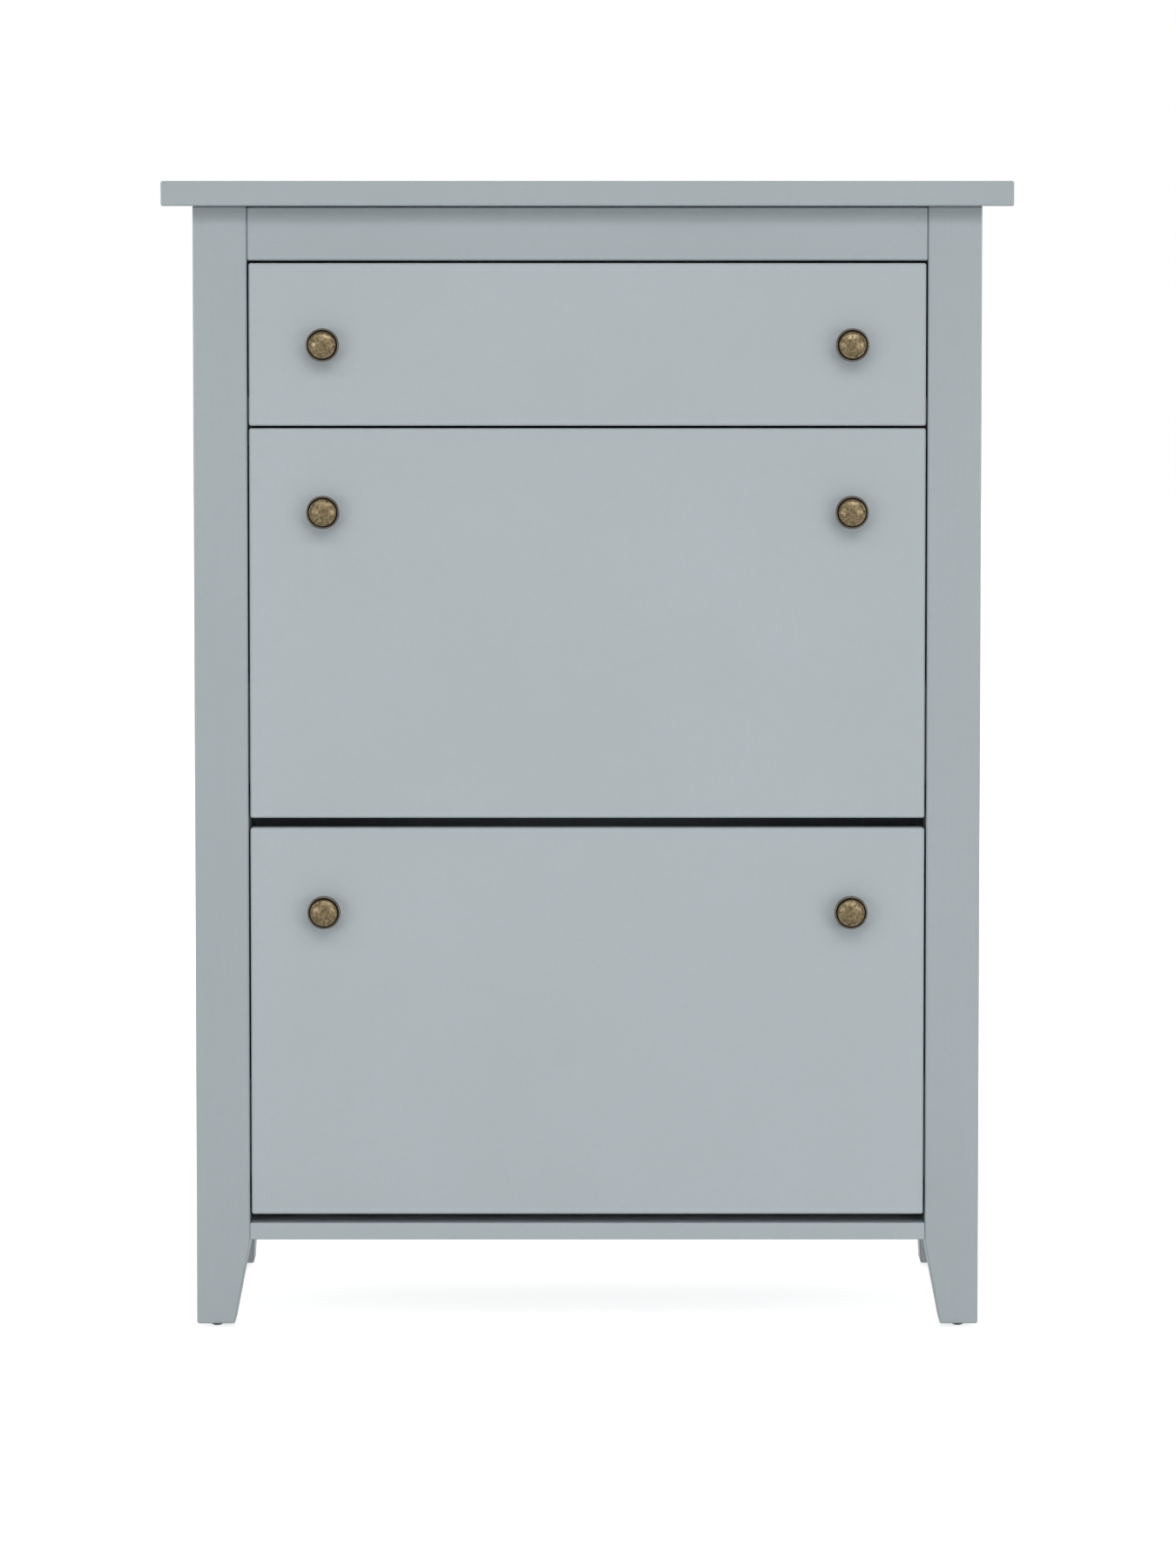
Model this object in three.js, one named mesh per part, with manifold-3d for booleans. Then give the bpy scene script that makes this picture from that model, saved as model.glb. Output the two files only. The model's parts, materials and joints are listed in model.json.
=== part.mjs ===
// Painted shoe cabinet with one drawer and two tip-out shoe flaps.
// Millimetres, +Z up, front towards -Y. The origin is on the floor, at the middle of the bounding box.
import * as THREE from 'three';
import { mergeVertices } from 'three/addons/utils/BufferGeometryUtils.js';
import Module from 'manifold-3d';

const wasm = await Module();
wasm.setup();

// ---------------------------------------------------------------- driving dimensions

const CABINET_HEIGHT = 1022;
const TOP_WIDTH = 750;
const TOP_THICKNESS = 22;
const TOP_FRONT_OVERHANG = 20;
const BODY_WIDTH = 697;
const BODY_DEPTH = 320;

const LEG_SIZE = 47.5;
const REAR_LEG_WIDTH = 38;
const FOOT_SIZE = 34;
const TAPER_TOP = 77;
const GLIDE_HEIGHT = 4;
const GLIDE_RADIUS = 7;

const EDGE_EASE = 1.2;
const SEAT_GAP = 0.3;
const JOINT_DEPTH = 8;

const SIDE_THICKNESS = 12;
const SIDE_RECESS = 4;
const BACK_THICKNESS = 4;
const BACK_INSET = 8;
const BOTTOM_THICKNESS = 15;
const BOTTOM_UNDERSIDE = 79.5;
const SHELF_THICKNESS = 12;
const RAIL_THICKNESS = 20;
const RAIL_RECESS = 1;
const TOP_RAIL_GAP = 1;
const TOP_RAIL_HEIGHT = 47;
const MID_RAIL_HEIGHT = 25;
const REAR_RAIL_HEIGHT = 70;

const FRONT_THICKNESS = 15;
const FRONT_SIDE_GAP = 1.8;
const FRONT_GAP = 2.4;
const DRAWER_FRONT_HEIGHT = 143.5;
const FLAP_GAP = 9;
const FLAP_SILL_GAP = 8.2;
const SHELF_DROP = 6;
const INNER_SETBACK = 2.5;

const KNOB_PROJECTION = 24;
const KNOB_RADIUS = 14.7;
const KNOB_FOOT_RADIUS = 8.5;
const KNOB_FOOT_THICKNESS = 1.6;
const KNOB_WAIST_RADIUS = 5.2;
const KNOB_RIM_THICKNESS = 2.2;
const KNOB_RIM_WALL = 3;
const KNOB_RIM_EASE = 1.3;
const KNOB_DOME_HEIGHT = 6.2;
const KNOB_SIDE_INSET = 65.7;
const FLAP_KNOB_DROP = 73.5;

const DRAWER_SIDE_THICKNESS = 12;
const DRAWER_SIDE_HEIGHT = 100;
const DRAWER_REAR_GAP = 22.7;
const DRAWER_EASE = 0.6;
const DRAWER_BOTTOM_THICKNESS = 3;
const DRAWER_GROOVE_UP = 6;
const DRAWER_GROOVE_DEPTH = 5;

const RUNNER_SPACE = 12.5;
const RUNNER_GAUGE = 1.2;
const RUNNER_LIP = 3;
const RUNNER_INNER_HEIGHT = 20;
const RUNNER_ABOVE_SHELF = 8;
const RUNNER_PLAY = 0.4;
const RUNNER_END_GAP = 1;
const DRAWER_LIFT = 2;
const REAR_ROLLER_RADIUS = 9.5;
const FRONT_ROLLER_RADIUS = 8.2;
const ROLLER_WIDTH = 8.8;
const ROLLER_CROWN = 0.8;
const FRONT_ROLLER_SETBACK = 14;
const AXLE_RADIUS = 2.5;
const BATTEN_HEIGHT = 40;

const PIVOT_SETBACK = 24.5;
const PIVOT_RISE = 40;
const PIVOT_PIN_RADIUS = 5;
const STOP_PIN_RADIUS = 4;
const STOP_RADIUS = 70;
const STOP_CLEARANCE = 0.5;
const STOP_HEAD_RIM = 2;
const STOP_HEAD_THICKNESS = 1.5;
const FLAP_OPENING = 45;
const BRACKET_GAUGE = 1.4;
const BRACKET_HALF_WIDTH = 15;
const BRACKET_MARGIN = 13;
const BRACKET_CORNER = 8;

const BIN_BOARD = 5;
const BIN_SLOPE = 10;
const FLOOR_RISE = 17;
const FLOOR_LENGTH = 232;
const DIVIDER_RISE = 160;
const DIVIDER_LENGTH = 165;
const BIN_BACK_HEIGHT = 70;
const BIN_LIP_HEIGHT = 30;
const UPRIGHT_GAP = 1.2;
const UPRIGHT_DROP = 5;
const BOARD_EASE = 0.4;

const PLATE_OUTER = 2.4;
const WEB_THICKNESS = 3.5;
const RIB_THICKNESS = 3;
const EDGE_RIM = 3;
const LEDGE_REACH = 14;
const LEDGE_SETBACK = 2;
const HUB_WALL = 3.5;
const HUB_LENGTH = 9;
const SLOT_RIM_WIDTH = 2.5;
const SLOT_RIM_HEIGHT = 2;
const FOOT_DROP = 20;
const FOOT_REACH = 12;
const BELLY_DROP = 36;
const BELLY_REACH = 60;
const HEEL_MARGIN = 2;
const BACK_MARGIN = 16;
const LIP_MARGIN = 14;
const SHOULDER_REACH = 70;
const SHOULDER_MARGIN = 22;
const NECK_REACH = 14;
const NECK_MARGIN = 34;
const FLANGE_HEAD_REACH = 8;
const FLANGE_TOP_DROP = 36;
const SCREW_FLANGE_WIDTH = 20;
const SCREW_FLANGE_LIFT = 8;
const SCREW_FLANGE_MARGIN = 4;
const SCREW_HOLE_RADIUS = 2.2;
const SCREW_HOLE_INSET = 13;
const SCREW_HOLE_COUNT = 4;
const SCREW_END_MARGIN = 20;
const WINDOW_FRAME = 14;
const WINDOW_FRONT = 84;
const WINDOW_FLOOR_GAP = 21;
const WINDOW_DIVIDER_GAP = 28;
const WINDOW_LIP_GAP = 4;
const CORNERS = { tight: 1, small: 6, medium: 11, easy: 16, wide: 30 };

// ---------------------------------------------------------------- levels and planes they give

const BODY_REACH = Math.max(TOP_FRONT_OVERHANG, KNOB_PROJECTION);
const TOTAL_DEPTH = BODY_DEPTH + BODY_REACH;
const FRONT_Y = BODY_REACH - TOTAL_DEPTH / 2;
const REAR_Y = TOTAL_DEPTH / 2;
const HALF_BODY = BODY_WIDTH / 2;
const HALF_OPENING = HALF_BODY - LEG_SIZE;
const REAR_HALF_OPENING = HALF_BODY - REAR_LEG_WIDTH;
const TOP_UNDERSIDE = CABINET_HEIGHT - TOP_THICKNESS;
const FRONT_BACK_Y = FRONT_Y + FRONT_THICKNESS;
const INNER_FRONT_Y = FRONT_BACK_Y + INNER_SETBACK;
const LEG_BACK_Y = FRONT_Y + LEG_SIZE;
const REAR_LEG_FRONT_Y = REAR_Y - LEG_SIZE;
const BACK_PANEL_Y = REAR_Y - BACK_INSET - BACK_THICKNESS / 2;
const INNER_BACK_Y = BACK_PANEL_Y - BACK_THICKNESS / 2 - SEAT_GAP;
const SIDE_OUTER = HALF_BODY - SIDE_RECESS;
const SIDE_INNER = SIDE_OUTER - SIDE_THICKNESS;

const RAIL_BOTTOM = TOP_UNDERSIDE - TOP_RAIL_GAP - TOP_RAIL_HEIGHT;
const DRAWER_TOP = RAIL_BOTTOM - FRONT_GAP;
const DRAWER_BOTTOM = DRAWER_TOP - DRAWER_FRONT_HEIGHT;
const LOWER_FLAP_BOTTOM = BOTTOM_UNDERSIDE + BOTTOM_THICKNESS + FLAP_SILL_GAP;
const FLAP_HEIGHT = (DRAWER_BOTTOM - FRONT_GAP - FLAP_GAP - LOWER_FLAP_BOTTOM) / 2;
const LOWER_FLAP_TOP = LOWER_FLAP_BOTTOM + FLAP_HEIGHT;
const UPPER_FLAP_BOTTOM = LOWER_FLAP_TOP + FLAP_GAP;
const SHELF_TOP = DRAWER_BOTTOM - SHELF_DROP;
const MID_RAIL_TOP = LOWER_FLAP_TOP - FRONT_GAP;
const FRONT_WIDTH = 2 * (HALF_OPENING - FRONT_SIDE_GAP);

const CHANNEL_FLOOR = SHELF_TOP + RUNNER_ABOVE_SHELF + RUNNER_GAUGE;
const FLANGE_REACH = RUNNER_SPACE - RUNNER_GAUGE - RUNNER_PLAY;
const ROLLER_OUTER = (RUNNER_SPACE - ROLLER_WIDTH) / 2;
const FRONT_ROLLER_Z = CHANNEL_FLOOR + 2 * SEAT_GAP + FRONT_ROLLER_RADIUS;
const REAR_ROLLER_Z = CHANNEL_FLOOR + SEAT_GAP + REAR_ROLLER_RADIUS;
const TREAD_Z = FRONT_ROLLER_Z + FRONT_ROLLER_RADIUS + SEAT_GAP;
const FRONT_ROLLER_Y = INNER_FRONT_Y + FRONT_ROLLER_SETBACK;
const DRAWER_REAR_Y = INNER_BACK_Y - DRAWER_REAR_GAP;
const DRAWER_LENGTH = DRAWER_REAR_Y - FRONT_BACK_Y;
const REAR_ROLLER_Y = DRAWER_REAR_Y - REAR_ROLLER_RADIUS;
const DRAWER_SIDE_BOTTOM = CHANNEL_FLOOR + DRAWER_LIFT;
const DRAWER_HALF_WIDTH = HALF_OPENING - RUNNER_SPACE;

const PIVOT_Y = FRONT_Y + PIVOT_SETBACK;
const PANEL_BACK = FRONT_THICKNESS - PIVOT_SETBACK;
const SLOPE = THREE.MathUtils.degToRad(BIN_SLOPE);
const WEB_INNER = PLATE_OUTER + WEB_THICKNESS;
const BIN_HALF_WIDTH = HALF_OPENING - WEB_INNER - SEAT_GAP;

// ---------------------------------------------------------------- finishes

const FINISHES = {
  paint: { color: '#acb4b8', roughness: 0.42, metalness: 0 },
  legPaint: { color: '#a5aeb1', roughness: 0.42, metalness: 0 },
  board: { color: '#a3aaad', roughness: 0.6, metalness: 0 },
  batten: { color: '#c2a77c', roughness: 0.75, metalness: 0 },
  brass: { color: '#86764f', roughness: 0.38, metalness: 0.9 },
  steel: { color: '#b9bcbe', roughness: 0.35, metalness: 0.85 },
  runner: { color: '#d9dadb', roughness: 0.4, metalness: 0.3 },
  nylon: { color: '#e8e6df', roughness: 0.45, metalness: 0 },
  plastic: { color: '#4b4f52', roughness: 0.55, metalness: 0 },
  glide: { color: '#2b2724', roughness: 0.5, metalness: 0 },
};

function namedMesh(name, geometry, finish, position = [0, 0, 0]) {
  const mesh = new THREE.Mesh(geometry, new THREE.MeshStandardMaterial(FINISHES[finish]));
  mesh.name = name;
  mesh.position.set(...position);
  return mesh;
}

// ---------------------------------------------------------------- solid helpers

function toSolid(geometry) {
  const bare = geometry.clone();
  bare.deleteAttribute('normal');
  bare.deleteAttribute('uv');
  const merged = mergeVertices(bare);
  const vertProperties = new Float32Array(merged.attributes.position.array);
  const triVerts = new Uint32Array(merged.index.array);
  return new wasm.Manifold(new wasm.Mesh({ numProp: 3, vertProperties, triVerts }));
}

function toGeometry(solid) {
  const { vertProperties, triVerts } = solid.getMesh();
  const geometry = new THREE.BufferGeometry();
  geometry.setAttribute('position', new THREE.BufferAttribute(new Float32Array(vertProperties), 3));
  geometry.setIndex(new THREE.BufferAttribute(new Uint32Array(triVerts), 1));
  geometry.computeVertexNormals();
  return geometry;
}

// Joins and cuts whole lists of geometries.
function combine(added, removed = []) {
  let solid = toSolid(added[0]);
  added.slice(1).forEach((geometry) => {
    solid = solid.add(toSolid(geometry));
  });
  removed.forEach((geometry) => {
    solid = solid.subtract(toSolid(geometry));
  });
  return toGeometry(solid);
}

// Mirrors a left-hand geometry into its right-hand twin and keeps its faces pointing out.
function mirrored(geometry) {
  const twin = mergeVertices(geometry);
  twin.scale(-1, 1, 1);
  const index = twin.index.array;
  for (let i = 0; i < index.length; i += 3) {
    const first = index[i];
    index[i] = index[i + 1];
    index[i + 1] = first;
  }
  twin.computeVertexNormals();
  return twin;
}

const forSide = (geometry, side) => (side < 0 ? geometry : mirrored(geometry));

// A box from its lowest to its highest corner.
function block(low, high) {
  const size = high.map((value, axis) => value - low[axis]);
  const geometry = new THREE.BoxGeometry(...size);
  geometry.translate(...low.map((value, axis) => value + size[axis] / 2));
  return geometry;
}

function chamferedRectangle(width, depth, ease) {
  const x = width / 2;
  const y = depth / 2;
  return new THREE.Shape([
    new THREE.Vector2(x - ease, -y),
    new THREE.Vector2(x, -y + ease),
    new THREE.Vector2(x, y - ease),
    new THREE.Vector2(x - ease, y),
    new THREE.Vector2(-x + ease, y),
    new THREE.Vector2(-x, y - ease),
    new THREE.Vector2(-x, -y + ease),
    new THREE.Vector2(-x + ease, -y),
  ]);
}

// Extrudes an outline upwards, with eased edges round both faces, centred on its own height.
function easedPlate(shape, height, ease = EDGE_EASE) {
  const geometry = new THREE.ExtrudeGeometry(shape, {
    depth: height - 2 * ease,
    bevelThickness: ease,
    bevelSize: ease,
    bevelOffset: -ease,
    bevelSegments: 1,
  });
  geometry.translate(0, 0, ease - height / 2);
  return geometry;
}

function easedBoard(width, depth, height, ease = EDGE_EASE) {
  return easedPlate(chamferedRectangle(width, depth, ease), height, ease);
}

// Extrudes a shape drawn in the side view (y, z) along +X.
const SIDE_VIEW = new THREE.Matrix4().makeBasis(
  new THREE.Vector3(0, 1, 0),
  new THREE.Vector3(0, 0, 1),
  new THREE.Vector3(1, 0, 0),
);

function sideExtrusion(shape, fromX, toX) {
  const geometry = new THREE.ExtrudeGeometry(shape, {
    depth: toX - fromX,
    bevelEnabled: false,
    curveSegments: 4,
  });
  geometry.translate(0, 0, fromX);
  return geometry.applyMatrix4(SIDE_VIEW);
}

// Extrudes a section drawn in the front view (x, z) from frontY to rearY.
const FRONT_VIEW = new THREE.Matrix4().makeBasis(
  new THREE.Vector3(1, 0, 0),
  new THREE.Vector3(0, 0, 1),
  new THREE.Vector3(0, -1, 0),
);

function frontExtrusion(points, frontY, rearY) {
  const shape = new THREE.Shape(points.map(([x, z]) => new THREE.Vector2(x, z)));
  const geometry = new THREE.ExtrudeGeometry(shape, { depth: rearY - frontY, bevelEnabled: false });
  geometry.applyMatrix4(FRONT_VIEW);
  return geometry.translate(0, rearY, 0);
}

// A round bar along X.
function pinAlongX(radius, fromX, toX, y, z, segments = 20) {
  const geometry = new THREE.CylinderGeometry(radius, radius, toX - fromX, segments);
  geometry.rotateZ(Math.PI / 2);
  return geometry.translate((fromX + toX) / 2, y, z);
}

// Revolves a profile of [radius, height] pairs, which starts and ends on the axis or closes on itself.
function turned(profile, segments) {
  const points = profile.map(([radius, height]) => new THREE.Vector2(radius, height));
  return combine([new THREE.LatheGeometry(points, segments)]);
}

// A closed outline through corners, each cut by a curve that starts radius before it.
function roundedOutline(corners) {
  const path = new THREE.Shape();
  const count = corners.length;
  corners.forEach(([x, y, radius], i) => {
    const corner = new THREE.Vector2(x, y);
    const before = new THREE.Vector2(...corners[(i + count - 1) % count]);
    const after = new THREE.Vector2(...corners[(i + 1) % count]);
    const start = before.sub(corner).setLength(radius).add(corner);
    const end = after.sub(corner).setLength(radius).add(corner);
    if (i === 0) {
      path.moveTo(start.x, start.y);
    } else {
      path.lineTo(start.x, start.y);
    }
    path.quadraticCurveTo(corner.x, corner.y, end.x, end.y);
  });
  path.closePath();
  return path;
}

// Moves the corners of a counter-clockwise outline inwards, and tightens their curves to match.
function insetCorners(corners, distance) {
  const count = corners.length;
  const points = corners.map(([x, y]) => new THREE.Vector2(x, y));
  return points.map((point, i) => {
    const along = point.clone().sub(points[(i + count - 1) % count]).normalize();
    const onward = points[(i + 1) % count].clone().sub(point).normalize();
    const inward = new THREE.Vector2(-along.y - onward.y, along.x + onward.x).normalize();
    const share = along.x * inward.y - along.y * inward.x;
    const moved = point.clone().addScaledVector(inward, distance / share);
    return [moved.x, moved.y, Math.max(1, corners[i][2] - distance)];
  });
}

// ---------------------------------------------------------------- carcass

// A post whose two inner faces taper to the foot. Its origin is the outer corner at floor level.
function taperedPost(width, side, end) {
  const ring = (sizeX, sizeY, z, inset) => {
    const [x0, x1] = side < 0 ? [inset, sizeX - inset] : [inset - sizeX, -inset];
    const [y0, y1] = end < 0 ? [inset, sizeY - inset] : [inset - sizeY, -inset];
    const e = EDGE_EASE - inset / 2;
    return [
      [x1 - e, y0], [x1, y0 + e], [x1, y1 - e], [x1 - e, y1],
      [x0 + e, y1], [x0, y1 - e], [x0, y0 + e], [x0 + e, y0],
    ].flatMap(([x, y]) => [x, y, z]);
  };
  const rings = [
    ring(FOOT_SIZE, FOOT_SIZE, GLIDE_HEIGHT, EDGE_EASE),
    ring(FOOT_SIZE, FOOT_SIZE, GLIDE_HEIGHT + EDGE_EASE, 0),
    ring(width, LEG_SIZE, TAPER_TOP, 0),
    ring(width, LEG_SIZE, TOP_UNDERSIDE - EDGE_EASE / 2, 0),
    ring(width, LEG_SIZE, TOP_UNDERSIDE, EDGE_EASE / 2),
  ];
  const corners = 8;
  const index = [];
  for (let level = 0; level < rings.length - 1; level += 1) {
    for (let i = 0; i < corners; i += 1) {
      const a = level * corners + i;
      const b = level * corners + ((i + 1) % corners);
      index.push(a, b, b + corners, a, b + corners, a + corners);
    }
  }
  const top = (rings.length - 1) * corners;
  for (let i = 1; i < corners - 1; i += 1) {
    index.push(0, i + 1, i, top, top + i, top + i + 1);
  }
  const geometry = new THREE.BufferGeometry();
  geometry.setAttribute('position', new THREE.Float32BufferAttribute(rings.flat(), 3));
  geometry.setIndex(index);
  return geometry;
}

// A leg, grooved for the side panel and, at the rear, for the back panel too.
function leg(name, side, end) {
  const width = end < 0 ? LEG_SIZE : REAR_LEG_WIDTH;
  const cornerX = side * HALF_BODY;
  const cornerY = end < 0 ? FRONT_Y : REAR_Y;
  const sideways = (distance) => -side * distance;
  const inwards = (distance) => -end * distance;
  const span = (a, b) => [Math.min(a, b), Math.max(a, b)];
  const [x0, x1] = span(
    sideways(SIDE_RECESS - SEAT_GAP),
    sideways(SIDE_RECESS + SIDE_THICKNESS + SEAT_GAP),
  );
  const [y0, y1] = span(inwards(LEG_SIZE - JOINT_DEPTH), inwards(LEG_SIZE + 1));
  const low = BOTTOM_UNDERSIDE - SEAT_GAP;
  const high = TOP_UNDERSIDE + 1;
  const grooves = [block([x0, y0, low], [x1, y1, high])];
  if (end > 0) {
    const [bx0, bx1] = span(sideways(width - JOINT_DEPTH), sideways(width + 1));
    const backY = BACK_PANEL_Y - cornerY;
    const half = BACK_THICKNESS / 2 + SEAT_GAP;
    grooves.push(block([bx0, backY - half, low], [bx1, backY + half, high]));
  }
  const geometry = combine([taperedPost(width, side, end)], grooves);
  return namedMesh(name, geometry, 'legPaint', [cornerX, cornerY, 0]);
}

function glide(name, side, end) {
  const geometry = turned([
    [0, 0],
    [GLIDE_RADIUS * 0.5, 0],
    [GLIDE_RADIUS * 0.8, GLIDE_HEIGHT * 0.3],
    [GLIDE_RADIUS * 0.95, GLIDE_HEIGHT * 0.7],
    [GLIDE_RADIUS, GLIDE_HEIGHT],
    [0, GLIDE_HEIGHT],
  ], 20);
  geometry.rotateX(Math.PI / 2);
  const x = side * (HALF_BODY - FOOT_SIZE / 2);
  const y = end < 0 ? FRONT_Y + FOOT_SIZE / 2 : REAR_Y - FOOT_SIZE / 2;
  return namedMesh(name, geometry, 'glide', [x, y, 0]);
}

function topPanel() {
  const depth = BODY_DEPTH + TOP_FRONT_OVERHANG;
  const geometry = easedBoard(TOP_WIDTH, depth, TOP_THICKNESS);
  return namedMesh('top_panel', geometry, 'legPaint', [
    0,
    REAR_Y - depth / 2,
    CABINET_HEIGHT - TOP_THICKNESS / 2,
  ]);
}

function sidePanel(name, side) {
  const frontY = LEG_BACK_Y - JOINT_DEPTH + SEAT_GAP;
  const rearY = REAR_LEG_FRONT_Y + JOINT_DEPTH - SEAT_GAP;
  const height = TOP_UNDERSIDE - BOTTOM_UNDERSIDE;
  const geometry = easedBoard(SIDE_THICKNESS, rearY - frontY, height, EDGE_EASE / 2);
  return namedMesh(name, geometry, 'paint', [
    side * (SIDE_OUTER - SIDE_THICKNESS / 2),
    (frontY + rearY) / 2,
    BOTTOM_UNDERSIDE + height / 2,
  ]);
}

// A full-depth board whose corners are notched round the four legs.
function notchedBoard(name, frontY, underside, thickness, finish) {
  const wide = SIDE_INNER - SEAT_GAP;
  const frontHalf = HALF_OPENING - SEAT_GAP;
  const rearHalf = REAR_HALF_OPENING - SEAT_GAP;
  const frontNotch = LEG_BACK_Y + SEAT_GAP;
  const rearNotch = REAR_LEG_FRONT_Y - SEAT_GAP;
  const right = [
    [frontHalf, frontY],
    [frontHalf, frontNotch],
    [wide, frontNotch],
    [wide, rearNotch],
    [rearHalf, rearNotch],
    [rearHalf, INNER_BACK_Y],
  ];
  const left = right.map(([x, y]) => [-x, y]).reverse();
  const outline = [...right, ...left].map(([x, y]) => new THREE.Vector2(x, y));
  const geometry = easedPlate(new THREE.Shape(outline), thickness, EDGE_EASE / 2);
  return namedMesh(name, geometry, finish, [0, 0, underside + thickness / 2]);
}

// A rail between two legs, which stand halfOpening from the middle.
function rail(name, halfOpening, frontY, underside, height, finish) {
  const geometry = easedBoard(2 * (halfOpening - SEAT_GAP), RAIL_THICKNESS, height);
  return namedMesh(name, geometry, finish, [0, frontY + RAIL_THICKNESS / 2, underside + height / 2]);
}

function backPanel() {
  const width = 2 * (REAR_HALF_OPENING + JOINT_DEPTH - SEAT_GAP);
  const height = TOP_UNDERSIDE - SEAT_GAP - BOTTOM_UNDERSIDE;
  const geometry = easedBoard(width, BACK_THICKNESS, height, BOARD_EASE);
  return namedMesh('back_panel', geometry, 'board', [0, BACK_PANEL_Y, BOTTOM_UNDERSIDE + height / 2]);
}

// Fills the pocket behind the legs, so that the runner channel has a flat seat level with their faces.
function runnerBatten(name, side) {
  const width = SIDE_INNER - SEAT_GAP - HALF_OPENING;
  const frontY = LEG_BACK_Y + SEAT_GAP;
  const rearY = REAR_LEG_FRONT_Y - SEAT_GAP;
  const geometry = easedBoard(width, rearY - frontY, BATTEN_HEIGHT);
  return namedMesh(name, geometry, 'batten', [
    side * (HALF_OPENING + width / 2),
    (frontY + rearY) / 2,
    SHELF_TOP + BATTEN_HEIGHT / 2,
  ]);
}

// ---------------------------------------------------------------- roller runners

// The channel is a C section screwed to the batten; x runs inwards from the face of the batten.
function runnerChannel(name, side) {
  const low = CHANNEL_FLOOR - RUNNER_GAUGE;
  const ceiling = CHANNEL_FLOOR + RUNNER_INNER_HEIGHT;
  const section = [
    [0, low],
    [FLANGE_REACH, low],
    [FLANGE_REACH, CHANNEL_FLOOR],
    [RUNNER_GAUGE, CHANNEL_FLOOR],
    [RUNNER_GAUGE, ceiling],
    [FLANGE_REACH - RUNNER_LIP, ceiling],
    [FLANGE_REACH - RUNNER_LIP, ceiling + RUNNER_GAUGE],
    [0, ceiling + RUNNER_GAUGE],
  ];
  const geometry = combine([
    frontExtrusion(section, INNER_FRONT_Y, DRAWER_REAR_Y + RUNNER_GAUGE),
    pinAlongX(AXLE_RADIUS, 0, ROLLER_OUTER + ROLLER_WIDTH, FRONT_ROLLER_Y, FRONT_ROLLER_Z),
  ]);
  return namedMesh(name, forSide(geometry, side), 'runner', [side * HALF_OPENING, 0, 0]);
}

// The drawer member wraps the lower edge of the drawer side and carries the tread that the
// front roller supports. The tread stops in front of the rear roller.
function drawerMember(name, side) {
  const web = RUNNER_SPACE - RUNNER_GAUGE;
  const wrapBottom = DRAWER_SIDE_BOTTOM - RUNNER_GAUGE;
  const treadTop = TREAD_Z + RUNNER_GAUGE;
  const section = [
    [web, wrapBottom],
    [RUNNER_SPACE + DRAWER_SIDE_THICKNESS, wrapBottom],
    [RUNNER_SPACE + DRAWER_SIDE_THICKNESS, DRAWER_SIDE_BOTTOM],
    [RUNNER_SPACE, DRAWER_SIDE_BOTTOM],
    [RUNNER_SPACE, treadTop],
    [2 * RUNNER_GAUGE, treadTop],
    [2 * RUNNER_GAUGE, TREAD_Z],
    [web, TREAD_Z],
  ];
  const treadEnd = REAR_ROLLER_Y - REAR_ROLLER_RADIUS - RUNNER_END_GAP;
  const geometry = combine([
    frontExtrusion(section, FRONT_BACK_Y + RUNNER_END_GAP, DRAWER_REAR_Y),
    pinAlongX(AXLE_RADIUS, ROLLER_OUTER, RUNNER_SPACE, REAR_ROLLER_Y, REAR_ROLLER_Z),
  ], [
    block([0, treadEnd, TREAD_Z - 1], [web, DRAWER_REAR_Y + 1, treadTop + 1]),
  ]);
  return namedMesh(name, forSide(geometry, side), 'runner', [side * HALF_OPENING, 0, 0]);
}

function roller(name, side, radius, y, z) {
  const half = ROLLER_WIDTH / 2;
  const bore = AXLE_RADIUS + SEAT_GAP;
  const geometry = turned([
    [bore, -half],
    [radius - ROLLER_CROWN, -half],
    [radius, ROLLER_CROWN - half],
    [radius, half - ROLLER_CROWN],
    [radius - ROLLER_CROWN, half],
    [bore, half],
    [bore, -half],
  ], 24);
  geometry.rotateZ(-Math.PI / 2);
  const x = side * (HALF_OPENING - ROLLER_OUTER - half);
  return namedMesh(name, geometry, 'nylon', [x, y, z]);
}

// ---------------------------------------------------------------- knobs and fronts

// Foot, waist, rim and domed crown, turned in one piece. The height runs out from the front.
function knob(name, side, z) {
  const crownLow = KNOB_PROJECTION - KNOB_DOME_HEIGHT;
  const rimHigh = crownLow - KNOB_RIM_EASE / 2;
  const rimLow = rimHigh - KNOB_RIM_THICKNESS;
  const crownRadius = KNOB_RADIUS - KNOB_RIM_WALL;
  const dome = [20, 43, 65].map((degrees) => {
    const angle = THREE.MathUtils.degToRad(degrees);
    return [crownRadius * Math.cos(angle), crownLow + KNOB_DOME_HEIGHT * Math.sin(angle)];
  });
  const geometry = turned([
    [0, 0],
    [KNOB_FOOT_RADIUS, 0],
    [KNOB_FOOT_RADIUS, KNOB_FOOT_THICKNESS],
    [KNOB_WAIST_RADIUS * 1.08, rimLow * 0.27],
    [KNOB_WAIST_RADIUS, rimLow * 0.54],
    [KNOB_WAIST_RADIUS * 1.44, rimLow * 0.75],
    [KNOB_RADIUS * 0.9, rimLow * 0.9],
    [KNOB_RADIUS, rimLow],
    [KNOB_RADIUS, rimHigh],
    [KNOB_RADIUS - KNOB_RIM_EASE, rimHigh + KNOB_RIM_EASE],
    [crownRadius, crownLow],
    ...dome,
    [0, KNOB_PROJECTION],
  ], 22);
  geometry.rotateX(Math.PI);
  return namedMesh(name, geometry, 'brass', [side * (FRONT_WIDTH / 2 - KNOB_SIDE_INSET), FRONT_Y, z]);
}

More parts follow.
